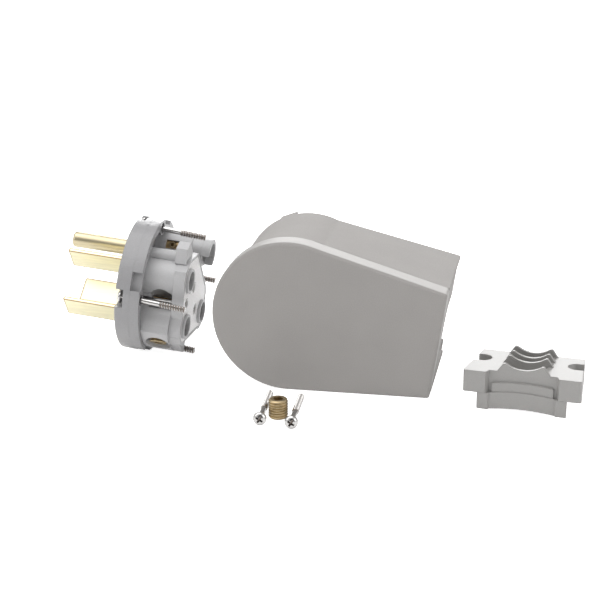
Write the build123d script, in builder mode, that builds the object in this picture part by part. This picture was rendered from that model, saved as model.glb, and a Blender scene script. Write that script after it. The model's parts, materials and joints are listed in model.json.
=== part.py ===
from build123d import *

import os
from math import cos, radians, sin, sqrt

# Three-phase power plug, taken apart and laid out: angled housing, face assembly with its four contacts,
# cord clamp, two clamp screws and one terminal screw. Millimetres, +Z up, everything stands on z = 0.
# The origin is on the floor, in the housing's resting strip, straight under the axis of its round end.
# +X runs along the housing's lower side to the cord end and +Y from its closed face to its mouth.

# Housing
round_radius = 32.5
side_taper = 8.5
cord_end_x = 64.2
closed_face_y = -5.0
housing_depth = 57.0
flange_depth = 9.0
flange_front_round = 1.4
flange_corner_round = 1.2
closed_plate = 2.8
body_radius = 29.7
body_half_at_axis = 29.3
housing_wall = 1.6
mouth_wall = 2.6
end_wall = 2.6

# Cord clamp, also the pocket that takes it
clamp_place = (98.97, -14.2)
clamp_turn = -7.4
clamp_length = 27.0
clamp_wide_half = 24.7
clamp_narrow_half = 21.5
clamp_fit = 0.3
clamp_corner_round = 1.0
ear_height = 9.3
ear_front_width = 9.5
ear_front_slant = 1.1
clamp_front_recess = 2.6
skirt_half = 18.6
skirt_back_half = 14.8
skirt_height = 7.2
skirt_front_y = 0.3
skirt_middle_y = 1.1
skirt_middle_half = 13.6
skirt_arch = 1.1
panel_half = 12.8
panel_front_y = 1.6
panel_side_z = 11.3
panel_middle_z = 12.2
rib_offsets = (3.3, 13.5, 19.3, 25.7)
rib_peak_halves = (8.5, 8.1, 7.9, 7.9)
rib_thickness = 1.4
rib_rise = 3.4
rib_crest_width = 0.9
rib_foot = 2.4
rib_arc_depth = 2.3
rib_gap_half = 8.5
rib_gap_depth = 3.2
slot_width = 7.2
slot_depth = 5.0
screw_slot_width = 3.6
clamp_screw_x = 16.9
clamp_screw_half_spacing = 19.6
head_pocket_radius = 3.4

# Cord trough and clamp screw towers of the housing
cord_radius = 10.5
cord_depth = 27.5
trough_rib_depth = 30.0
trough_rib_thickness = 2.0
trough_rib_offsets = (6.5, 12.5, 18.5)
tower_radius = 4.3
post_radius = 3.4
post_height = 4.6
insert_length = 8.0
clamp_insert_radius = 2.4
clamp_insert_drop = 8.0

# Screws
screw_thread_radius = 1.55
screw_minor_radius = 1.25
screw_shank_radius = 1.15
screw_bore_clearance = 0.15
assembly_head_radius = 3.1
assembly_head_height = 1.9
assembly_thread_length = 11.5
assembly_screw_length = 28.7
clamp_head_radius = 2.8
clamp_head_height = 2.1
clamp_head_round = 0.9
clamp_screw_length = 31.9
clamp_thread_radius = 1.45
clamp_thread_length = 20.0
terminal_screw_radius = 4.0
terminal_screw_length = 8.0
terminal_screw_chamfer = 0.5
loose_screw_place = (1.8, -35.3)
socket_share = 0.55
ground_screw_radius = 1.6
terminal_screw_in = 1.2
ground_screw_length = 5.0
side_hole_clearance = 0.05
socket_depth = 3.2
recess_width = 0.75
recess_reach = 0.62
recess_depth = 1.2

# Face assembly: local x lies away from the camera side, y up, z from the contacts to the wiring side
face_front_centre = (-77.7, 37.5)
face_yaw = -1.9
face_tilt = 5.5
face_roll = -3.5
rim_radius = 29.75
rim_band_step = 0.05
rim_depth = 11.0
front_plate = 6.5
rim_front_round = 0.8
rim_wall = 3.6
boss_radius = 3.3
boss_bore_radius = 2.5
screw_circle_radius = 26.3
head_notch_width = 8.0
head_notch_depth = 3.6
key_turn = 16.0
key_width = 8.2
key_length = 4.5
key_depth = 2.3
key_clearance = 0.3

# side: angle of the hole, droop of the screw, swing of its tip, gap under its head
assembly_screw_poses = {
    "right": (0, 3.0, 0.0, 1.3),
    "top": (90, 3.0, 0.0, 1.3),
    "left": (180, 3.0, 0.0, 1.3),
    "bottom": (270, -0.45, -8.0, 0.6),
}

# Contacts
blade_width = 12.3
blade_thickness = 1.65
blade_reach = 27.3
blade_corner = 2.2
blade_edge = 0.45
ground_pin_radius = 3.6
ground_pin_reach = 33.0
ground_pin_round = 1.2
ground_root_radius = 3.0
contact_slot_clearance = 0.1

# Terminal block and retainer plate
block_reach = 27.8
flange_lobe_radius = 8.2
core_radius = 14.5
flange_low_z = 23.2
flange_high_z = 28.4
lug_low_z = 22.0
lug_high_z = 27.2
plate_low_z = 26.2
plate_high_z = 28.2
plate_lip = 1.1
plate_gap = 0.1
ground_chord = 12.4
wire_bore_radius = 4.4
wire_ring_radius = 5.5
wire_ring_high_z = 29.4
ground_barrel_high_z = 23.6
ground_ring_radius = 6.3
ground_ring_low_z = 28.0
ground_ring_high_z = 31.9
ground_cut_width = 9.6
terminal_low_z = front_plate
terminal_high_z = 23.0
terminal_bore_floor_z = 11.0
window_radius = 5.6
ground_window = (6.0, 3.8)
rib_place = (-10.5, 16.8)
rib_radius = 3.0
retainer_spots = ((-2.4, 2.4), (-13.4, -2.4), (3.1, -9.2))
retainer_bore_radius = 2.6
retainer_bore_depth = 1.5
retainer_head_radius = 2.4
retainer_head_height = 0.9
retainer_shank_radius = 1.2
retainer_tip_z = 3.5

# name: angle and radius of the contact, angle and radius of the wire bore, direction of the screw
contacts = {
    "a": (135.0, 13.3, 148.5, 15.0, 252.0),
    "b": (315.0, 16.4, 315.5, 18.5, 315.0),
    "c": (225.0, 17.2, 225.0, 18.3, 244.0),
    "ground": (45.0, 16.8, 53.4, 19.1, 155.0),
}
# name: radius of the barrel in the block, of the terminal and of its bore, height of the screw
barrels = {
    "a": (8.0, 5.9, 4.4, 17.9),
    "b": (8.6, 5.9, 4.4, 17.9),
    "c": (9.4, 5.9, 4.4, 17.9),
    "ground": (6.6, 5.3, 4.2, 14.5),
}
# Outlines on the wiring side, in the face assembly's own x and y
flange_outline = (
    (-19.4, -9.6),
    (-20.9, 6.7),
    (-19.8, 13.3),
    (-13.0, 17.0),
    (0.0, 17.5),
    (8.0, 9.5),
    (19.5, -2.0),
    (21.0, -6.0),
    (19.5, -17.0),
    (10.0, -20.5),
    (-8.0, -20.5),
)
wing = ((-22.0, -11.0), (-23.6, -16.0), (-16.0, -30.0), (-5.8, -28.9), (-6.1, -14.4))
upper_lug = ((-16.3, 15.8), (-16.0, 22.6), (-11.2, 24.6), (-6.5, 19.5), (-9.0, 12.0))
lower_lug = ((-16.6, -11.2), (-20.4, -16.7), (-14.8, -21.7), (-9.0, -26.2), (-6.3, -26.9), (-5.6, -21.0), (-12.0, -10.0))

# Derived values
taper_sin = sin(radians(side_taper))
taper_cos = cos(radians(side_taper))
tangent_x = round_radius * taper_sin
tangent_half = round_radius * taper_cos
end_half = (round_radius - cord_end_x * taper_sin) / taper_cos
clamp_start_x = cord_end_x - clamp_length
seat_depth = housing_depth - ear_height - skirt_height
clamp_taper = (clamp_wide_half - clamp_narrow_half) / clamp_length
clamp_middle_half = clamp_wide_half - ear_front_width - ear_front_slant
ear_low_z = skirt_height
ear_high_z = skirt_height + ear_height
mouth_radius = body_radius - housing_wall

housing_plane = Plane(
    origin=(0, closed_face_y, round_radius),
    x_dir=(taper_cos, 0, -taper_sin),
    z_dir=(0, 1, 0),
)

assembly_reach_z = head_notch_depth + assembly_screw_length
rim_back_radius = rim_radius - rim_band_step
face_centre_z = rim_back_radius * cos(radians(face_tilt)) + rim_depth * sin(radians(face_tilt))
face_plane = Plane(
    origin=(face_front_centre[0], face_front_centre[1], face_centre_z),
    x_dir=(-sin(radians(face_yaw)), cos(radians(face_yaw)), 0),
    z_dir=(
        cos(radians(face_tilt)) * cos(radians(face_yaw)),
        cos(radians(face_tilt)) * sin(radians(face_yaw)),
        -sin(radians(face_tilt)),
    ),
)
face_frame = face_plane.location * Location((0, 0, 0), (0, 0, face_roll))
face_axis = Axis((0, 0, 0), face_plane.z_dir)


def body_half(x):
    """Half the height of the housing's tapered box at a place along the cord axis."""
    return body_half_at_axis + (end_half - body_half_at_axis) * x / cord_end_x


def ear_half(from_front):
    """Half the width over the clamp's ears, from the wide front to the narrow back."""
    return clamp_wide_half - clamp_taper * from_front


def spot(angle, radius, z):
    """A plane of the face assembly at a polar place: its x points outwards and its z to the wiring side."""
    return Plane(face_frame * Location((0, 0, z), (0, 0, angle)) * Location((radius, 0, 0)))


def level(z):
    """The face assembly's own cross plane at a height z."""
    return Plane(face_frame * Location((0, 0, z)))


def wire_place(name):
    """The local place of a contact's wire bore."""
    _, _, angle, radius, _ = contacts[name]
    return (radius * cos(radians(angle)), radius * sin(radians(angle)))


def screw_plane(name):
    """The plane of a terminal's screw: in the middle of the wire bore, its z along the screw."""
    centre_x, centre_y = wire_place(name)
    turned = Location((centre_x, centre_y, barrels[name][3]), (0, 0, contacts[name][4]))
    return Plane(face_frame * turned * Location((0, 0, 0), (0, 90, 0)))


os.makedirs("parts", exist_ok=True)

# Angled housing: a teardrop flange on the closed side, a narrower body behind it, open at mouth and cord end
tower_spots = (
    (clamp_start_x + clamp_screw_x, clamp_screw_half_spacing),
    (clamp_start_x + clamp_screw_x, -clamp_screw_half_spacing),
)
with BuildPart() as housing:
    with BuildSketch(housing_plane):
        with BuildLine():
            ThreePointArc((tangent_x, tangent_half), (-round_radius, 0), (tangent_x, -tangent_half))
            Polyline(
                (tangent_x, -tangent_half),
                (cord_end_x, -end_half),
                (cord_end_x, end_half),
                (tangent_x, tangent_half),
            )
        make_face()
        fillet(vertices().group_by(Axis.X)[-1], flange_corner_round)
    extrude(amount=flange_depth)
    fillet(faces().sort_by(Axis.Y)[0].edges(), flange_front_round)

    with BuildSketch(housing_plane.offset(flange_depth)):
        Circle(body_radius)
        with BuildLine():
            Polyline(
                (0, body_half_at_axis),
                (cord_end_x, end_half),
                (cord_end_x, -end_half),
                (0, -body_half_at_axis),
                close=True,
            )
        make_face()
    extrude(amount=housing_depth - flange_depth)

    # Cavity, closed on the mouth side outside the round mouth
    inner_end_x = cord_end_x - end_wall
    with BuildSketch(housing_plane.offset(closed_plate)):
        Circle(mouth_radius)
        with BuildLine():
            Polyline(
                (0, body_half_at_axis - housing_wall),
                (inner_end_x, body_half(inner_end_x) - housing_wall),
                (inner_end_x, housing_wall - body_half(inner_end_x)),
                (0, housing_wall - body_half_at_axis),
                close=True,
            )
        make_face()
    extrude(amount=housing_depth - mouth_wall - closed_plate, mode=Mode.SUBTRACT)
    with BuildSketch(housing_plane.offset(housing_depth - 2 * mouth_wall)):
        Circle(mouth_radius)
    extrude(amount=2 * mouth_wall, mode=Mode.SUBTRACT)

    # Screw bosses from the closed plate to the mouth
    with BuildSketch(housing_plane.offset(closed_plate)):
        with PolarLocations(screw_circle_radius, 4, start_angle=45):
            Circle(boss_radius)
    extrude(amount=housing_depth - closed_plate)

    # Cross ribs that carry the cord
    for offset_x in trough_rib_offsets:
        rib_x = cord_end_x - offset_x
        with BuildSketch(housing_plane.offset(closed_plate)):
            with Locations((rib_x, 0)):
                Rectangle(trough_rib_thickness, 2 * body_half(rib_x) - housing_wall)
        extrude(amount=trough_rib_depth - closed_plate)

    # Towers for the clamp screws, each with a narrower post that guides a clamp ear
    with BuildSketch(housing_plane.offset(closed_plate)):
        with Locations(*tower_spots):
            Circle(tower_radius)
    extrude(amount=seat_depth - closed_plate)

    # Pocket for the cord clamp, open to the mouth side and to the cord end
    pocket_half_wide = ear_half(0) + clamp_fit
    pocket_half_narrow = ear_half(clamp_length) + clamp_fit
    with BuildSketch(housing_plane.offset(seat_depth)):
        with BuildLine():
            Polyline(
                (clamp_start_x - clamp_fit, pocket_half_wide),
                (cord_end_x + clamp_fit, pocket_half_narrow),
                (cord_end_x + clamp_fit, -pocket_half_narrow),
                (clamp_start_x - clamp_fit, -pocket_half_wide),
                close=True,
            )
        make_face()
    extrude(amount=ear_height + skirt_height, mode=Mode.SUBTRACT)

    with BuildSketch(housing_plane.offset(seat_depth)):
        with Locations(*tower_spots):
            Circle(post_radius)
    extrude(amount=post_height)

    # Round-bottomed way for the cord through the ribs and the end wall
    cord_plane = Plane(
        origin=housing_plane.from_local_coords((clamp_start_x, 0, cord_depth)),
        x_dir=(0, 1, 0),
        z_dir=housing_plane.x_dir,
    )
    with BuildSketch(cord_plane):
        Circle(cord_radius)
        with Locations(((seat_depth - cord_depth) / 2, 0)):
            Rectangle(seat_depth - cord_depth, 2 * cord_radius)
    extrude(amount=clamp_length + end_wall, mode=Mode.SUBTRACT)

    # Screw bores in the bosses and in the towers
    boss_bore_length = key_length + assembly_reach_z - rim_depth
    with BuildSketch(housing_plane.offset(housing_depth - boss_bore_length)):
        with PolarLocations(screw_circle_radius, 4, start_angle=45):
            Circle(screw_thread_radius + screw_bore_clearance)
    extrude(amount=boss_bore_length, mode=Mode.SUBTRACT)
    tower_bore_length = clamp_screw_length - ear_height + slot_depth
    with BuildSketch(housing_plane.offset(seat_depth + post_height - tower_bore_length)):
        with Locations(*tower_spots):
            Circle(clamp_thread_radius + screw_bore_clearance)
    extrude(amount=tower_bore_length, mode=Mode.SUBTRACT)

    # Seats of the moulded-in brass inserts
    thread_start_depth = assembly_reach_z - rim_depth - assembly_thread_length
    assembly_insert_depth = housing_depth - thread_start_depth - insert_length
    with BuildSketch(housing_plane.offset(assembly_insert_depth)):
        with PolarLocations(screw_circle_radius, 4, start_angle=45):
            Circle(clamp_insert_radius)
    extrude(amount=insert_length, mode=Mode.SUBTRACT)
    clamp_insert_depth = seat_depth - clamp_insert_drop - insert_length
    with BuildSketch(housing_plane.offset(clamp_insert_depth)):
        with Locations(*tower_spots):
            Circle(clamp_insert_radius)
    extrude(amount=insert_length, mode=Mode.SUBTRACT)

    # Keys on the mouth that fit the notches of the face's rim
    key_radius = rim_back_radius - key_depth / 2
    with BuildSketch(housing_plane.offset(housing_depth)):
        with PolarLocations(key_radius, 4, start_angle=45 + key_turn):
            Rectangle(key_depth - 2 * key_clearance, key_width - 2 * key_clearance)
    extrude(amount=key_length - key_clearance)
housing.part.label = "housing"
export_step(housing.part, "parts/housing.step")

# Brass inserts: plain sleeves here, tapped for the assembly screws and for the clamp screws
with BuildPart() as assembly_inserts:
    with BuildSketch(housing_plane.offset(assembly_insert_depth)):
        with PolarLocations(screw_circle_radius, 4, start_angle=45):
            Circle(clamp_insert_radius)
            Circle(screw_minor_radius, mode=Mode.SUBTRACT)
    extrude(amount=insert_length)
assembly_inserts.part.label = "assembly_inserts"
export_step(assembly_inserts.part, "parts/assembly_inserts.step")

with BuildPart() as clamp_inserts:
    with BuildSketch(housing_plane.offset(clamp_insert_depth)):
        with Locations(*tower_spots):
            Circle(clamp_insert_radius)
            Circle(screw_minor_radius, mode=Mode.SUBTRACT)
    extrude(amount=insert_length)
clamp_inserts.part.label = "clamp_inserts"
export_step(clamp_inserts.part, "parts/clamp_inserts.step")

# Cord clamp: two ears, a skirt below, four concave ribs above; it stands beside the housing on its skirt
clamp_spot = Location((*clamp_place, 0), (0, 0, clamp_turn))


def clamp_level(z):
    """The clamp's own cross plane at a height z."""
    return Plane(clamp_spot * Location((0, 0, z)))


def clamp_upright(y):
    """The clamp's own upright plane at a distance y behind its front: local x is across, y is up."""
    return Plane(clamp_spot * Location((0, y, 0), (90, 0, 0)))


with BuildPart() as cord_clamp:
    with BuildSketch(clamp_level(ear_low_z)):
        with BuildLine():
            Polyline(
                (-clamp_wide_half, 0),
                (-clamp_middle_half - ear_front_slant, 0),
                (-clamp_middle_half, clamp_front_recess),
                (clamp_middle_half, clamp_front_recess),
                (clamp_middle_half + ear_front_slant, 0),
                (clamp_wide_half, 0),
                (clamp_narrow_half, clamp_length),
                (-clamp_narrow_half, clamp_length),
                close=True,
            )
        make_face()
        outer_corners = vertices().group_by(Axis.X)
        fillet(outer_corners[0] + outer_corners[-1], clamp_corner_round)
    extrude(amount=ear_height)
    with BuildSketch(clamp_level(0)):
        with BuildLine():
            Polyline(
                (-skirt_half, skirt_front_y),
                (-clamp_middle_half, skirt_front_y),
                (-skirt_middle_half, skirt_middle_y),
                (skirt_middle_half, skirt_middle_y),
                (clamp_middle_half, skirt_front_y),
                (skirt_half, skirt_front_y),
                (skirt_back_half, clamp_length),
                (-skirt_back_half, clamp_length),
                close=True,
            )
        make_face()
    extrude(amount=skirt_height)

    # Arched top of the skirt's middle and the arched panel above it
    with BuildSketch(clamp_upright(clamp_front_recess)):
        with BuildLine():
            Polyline(
                (skirt_middle_half, skirt_height),
                (skirt_middle_half, skirt_height - 1),
                (-skirt_middle_half, skirt_height - 1),
                (-skirt_middle_half, skirt_height),
            )
            ThreePointArc(
                (-skirt_middle_half, skirt_height),
                (0, skirt_height + skirt_arch),
                (skirt_middle_half, skirt_height),
            )
        make_face()
    extrude(amount=clamp_front_recess - skirt_middle_y)
    with BuildSketch(clamp_upright(clamp_front_recess)):
        with BuildLine():
            Polyline(
                (panel_half, panel_side_z),
                (panel_half, skirt_height),
                (-panel_half, skirt_height),
                (-panel_half, panel_side_z),
            )
            ThreePointArc(
                (-panel_half, panel_side_z),
                (0, panel_middle_z),
                (panel_half, panel_side_z),
            )
        make_face()
    extrude(amount=clamp_front_recess - panel_front_y)

    # Hollow under the cord, from the first rib to the last, which the ribs between them cross
    with BuildSketch(clamp_upright(rib_offsets[-1])):
        with BuildLine():
            Line((-rib_gap_half, ear_high_z), (rib_gap_half, ear_high_z))
            ThreePointArc(
                (rib_gap_half, ear_high_z),
                (0, ear_high_z - rib_gap_depth),
                (-rib_gap_half, ear_high_z),
            )
        make_face()
    extrude(amount=rib_offsets[-1] - rib_offsets[0], mode=Mode.SUBTRACT)

    # Ribs that grip the cord
    for rib_y, peak_half in zip(rib_offsets, rib_peak_halves):
        crest_half = peak_half - rib_crest_width
        with BuildSketch(clamp_upright(rib_y + rib_thickness / 2)):
            with BuildLine():
                Polyline(
                    (-crest_half, ear_high_z + rib_rise),
                    (-peak_half, ear_high_z + rib_rise),
                    (-peak_half - rib_foot, ear_high_z),
                    (-peak_half, ear_high_z - rib_gap_depth),
                    (peak_half, ear_high_z - rib_gap_depth),
                    (peak_half + rib_foot, ear_high_z),
                    (peak_half, ear_high_z + rib_rise),
                    (crest_half, ear_high_z + rib_rise),
                )
                ThreePointArc(
                    (crest_half, ear_high_z + rib_rise),
                    (0, ear_high_z + rib_rise - rib_arc_depth),
                    (-crest_half, ear_high_z + rib_rise),
                )
            make_face()
        extrude(amount=rib_thickness)

    # Shallow arch along the skirt's lower edge
    with BuildSketch(clamp_upright(clamp_length + 1)):
        with BuildLine():
            Line((-clamp_middle_half, 0), (clamp_middle_half, 0))
            ThreePointArc((clamp_middle_half, 0), (0, skirt_arch), (-clamp_middle_half, 0))
        make_face()
    extrude(amount=clamp_length + 2, mode=Mode.SUBTRACT)

    # Ear slots: wide ones for the housing's posts, narrow ones for the screws, round seats for the heads
    for side in (-1, 1):
        slot_x = side * clamp_screw_half_spacing
        with BuildSketch(clamp_level(ear_high_z - slot_depth)):
            with Locations((slot_x, clamp_screw_x)):
                Circle(slot_width / 2)
            with Locations((slot_x + side * slot_width, clamp_screw_x)):
                Rectangle(2 * slot_width, slot_width)
        extrude(amount=slot_depth, mode=Mode.SUBTRACT)
        with BuildSketch(clamp_level(0)):
            with Locations((slot_x, clamp_screw_x)):
                Circle(screw_slot_width / 2)
            with Locations((slot_x + side * slot_width, clamp_screw_x)):
                Rectangle(2 * slot_width, screw_slot_width)
        extrude(amount=ear_high_z, mode=Mode.SUBTRACT)
        with BuildSketch(clamp_level(0)):
            with Locations((slot_x, clamp_screw_x)):
                Circle(head_pocket_radius)
        extrude(amount=ear_low_z, mode=Mode.SUBTRACT)
cord_clamp.part.label = "cord_clamp"
export_step(cord_clamp.part, "parts/cord_clamp.step")


def cross_recess(plane, head_radius, depth):
    """The cross recess of a screw head, reaching in from a plane on its top."""
    with BuildPart() as recess:
        with BuildSketch(plane):
            Rectangle(2 * head_radius * recess_reach, recess_width)
            Rectangle(recess_width, 2 * head_radius * recess_reach)
        extrude(amount=depth)
    return recess.part


# Clamp screws: they lie in front of the housing, on the edge of the head and on the tip
clamp_screw_heads = {
    "clamp_screw_left": ((-3.8, -47.1), (-5.8, -13.1)),
    "clamp_screw_right": ((9.4, -48.6), (7.7, -14.6)),
}
for name, (head_place, tip_place) in clamp_screw_heads.items():
    run_x = tip_place[0] - head_place[0]
    run_y = tip_place[1] - head_place[1]
    run = sqrt(run_x**2 + run_y**2)
    fall = (clamp_head_radius - clamp_thread_radius) / clamp_screw_length
    direction = (run_x / run, run_y / run, -fall)
    head_centre = (head_place[0], head_place[1], clamp_head_radius + clamp_head_height * fall)
    head_plane = Plane(origin=head_centre, x_dir=(run_y / run, -run_x / run, 0), z_dir=direction)
    thread_start = clamp_head_height + clamp_screw_length - clamp_thread_length
    with BuildPart() as clamp_screw:
        with BuildSketch(head_plane):
            Circle(clamp_head_radius)
        extrude(amount=clamp_head_height)
        fillet(edges().group_by(Axis.Y)[0], clamp_head_round)
        with BuildSketch(head_plane.offset(clamp_head_height)):
            Circle(screw_shank_radius)
        extrude(amount=clamp_screw_length)
        with BuildSketch(head_plane.offset(thread_start)):
            Circle(clamp_thread_radius)
        extrude(amount=clamp_thread_length)
        add(cross_recess(head_plane, clamp_head_radius, recess_depth), mode=Mode.SUBTRACT)
    clamp_screw.part.label = name
    export_step(clamp_screw.part, f"parts/{name}.step")

# Face body: the rim with its front plate, four head notches in front and four key notches behind
with BuildPart() as face_body:
    with BuildSketch(level(0)):
        Circle(rim_radius)
    extrude(amount=front_plate)
    fillet(faces().sort_by(face_axis)[0].edges(), rim_front_round)
    with BuildSketch(level(front_plate)):
        Circle(rim_back_radius)
        Circle(rim_back_radius - rim_wall, mode=Mode.SUBTRACT)
        with PolarLocations(screw_circle_radius, 4):
            Circle(boss_radius)
        Circle(rim_back_radius, mode=Mode.INTERSECT)
    extrude(amount=rim_depth - front_plate)

    # Notches for the screw heads, holes that hold the screws captive, wide bores behind them
    with BuildSketch(level(0)):
        with PolarLocations(screw_circle_radius, 4):
            Circle(head_notch_width / 2)
        with PolarLocations(screw_circle_radius + head_notch_width, 4):
            Rectangle(2 * head_notch_width, head_notch_width)
    extrude(amount=head_notch_depth, mode=Mode.SUBTRACT)
    with BuildSketch(level(head_notch_depth)):
        with PolarLocations(screw_circle_radius, 4):
            Circle(screw_thread_radius - 0.1)
    extrude(amount=front_plate - head_notch_depth, mode=Mode.SUBTRACT)
    with BuildSketch(level(front_plate)):
        with PolarLocations(screw_circle_radius, 4):
            Circle(boss_bore_radius)
    extrude(amount=rim_depth - front_plate, mode=Mode.SUBTRACT)

    # Key notches
    with BuildSketch(level(rim_depth - key_length)):
        with PolarLocations(rim_back_radius - key_depth / 2 + 1, 4, start_angle=-key_turn):
            Rectangle(key_depth + 2, key_width)
    extrude(amount=key_length, mode=Mode.SUBTRACT)

    # Slots for the blades, hole for the ground pin, bores for the retainer screws
    for name, (angle, radius, _, _, _) in contacts.items():
        with BuildSketch(spot(angle, radius, 0)):
            if name == "ground":
                Circle(ground_root_radius + contact_slot_clearance)
            elif name == "a":
                Rectangle(blade_width + 2 * contact_slot_clearance, blade_thickness + 2 * contact_slot_clearance)
            else:
                Rectangle(blade_thickness + 2 * contact_slot_clearance, blade_width + 2 * contact_slot_clearance)
        extrude(amount=front_plate, mode=Mode.SUBTRACT)
    with BuildSketch(level(retainer_tip_z)):
        with Locations(*retainer_spots):
            Circle(retainer_shank_radius + 0.05)
    extrude(amount=front_plate - retainer_tip_z, mode=Mode.SUBTRACT)
face_body.part.label = "face_body"
export_step(face_body.part, "parts/face_body.step")

# Flat blades and the round ground pin
for name, (angle, radius, _, _, _) in contacts.items():
    reach = ground_pin_reach if name == "ground" else blade_reach
    with BuildPart() as contact:
        with BuildSketch(spot(angle, radius, -reach)):
            if name == "ground":
                Circle(ground_pin_radius)
            elif name == "a":
                Rectangle(blade_width, blade_thickness)
            else:
                Rectangle(blade_thickness, blade_width)
        extrude(amount=reach if name == "ground" else reach + terminal_low_z)
        tip_edges = faces().sort_by(face_axis)[0].edges()
        if name == "ground":
            fillet(tip_edges, ground_pin_round)
            with BuildSketch(spot(angle, radius, 0)):
                Circle(ground_root_radius)
            extrude(amount=terminal_low_z)
        else:
            chamfer(tip_edges, blade_edge)
    node = "ground_pin" if name == "ground" else f"blade_{name}"
    contact.part.label = node
    export_step(contact.part, f"parts/{node}.step")

# Terminals: brass cups behind the contacts, each with a wire bore and a threaded side hole
for name, (_, terminal_radius, terminal_bore_radius, _) in barrels.items():
    side_radius = ground_screw_radius if name == "ground" else terminal_screw_radius
    with BuildPart() as terminal:
        with BuildSketch(level(terminal_low_z)):
            with Locations(wire_place(name)):
                Circle(terminal_radius)
        extrude(amount=terminal_high_z - terminal_low_z)
        with BuildSketch(level(terminal_bore_floor_z)):
            with Locations(wire_place(name)):
                Circle(terminal_bore_radius)
        extrude(amount=terminal_high_z - terminal_bore_floor_z, mode=Mode.SUBTRACT)
        with BuildSketch(screw_plane(name)):
            Circle(side_radius + side_hole_clearance)
        extrude(amount=terminal_radius + 1, mode=Mode.SUBTRACT)
    terminal.part.label = f"terminal_{name}"
    export_step(terminal.part, f"parts/terminal_{name}.step")

    # The screw of contact A stands loose on the floor
    if name == "a":
        continue
    side_length = ground_screw_length if name == "ground" else terminal_screw_length
    with BuildPart() as fitted_screw:
        with BuildSketch(screw_plane(name).offset(terminal_screw_in)):
            Circle(side_radius)
        extrude(amount=side_length)
        with BuildSketch(screw_plane(name).offset(terminal_screw_in + side_length)):
            RegularPolygon(side_radius * socket_share, 6)
        extrude(amount=-socket_depth, mode=Mode.SUBTRACT)
    fitted_screw.part.label = f"terminal_screw_{name}"
    export_step(fitted_screw.part, f"parts/terminal_screw_{name}.step")

# The loose terminal screw stands upright between the clamp screws
with BuildPart() as loose_screw:
    with BuildSketch(Plane(origin=(*loose_screw_place, 0))):
        Circle(terminal_screw_radius)
    extrude(amount=terminal_screw_length)
    chamfer(edges().filter_by(GeomType.CIRCLE), terminal_screw_chamfer)
    with BuildSketch(Plane(origin=(*loose_screw_place, terminal_screw_length))):
        RegularPolygon(terminal_screw_radius * socket_share, 6)
    extrude(amount=-socket_depth, mode=Mode.SUBTRACT)
loose_screw.part.label = "terminal_screw_a"
export_step(loose_screw.part, "parts/terminal_screw_a.step")

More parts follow.
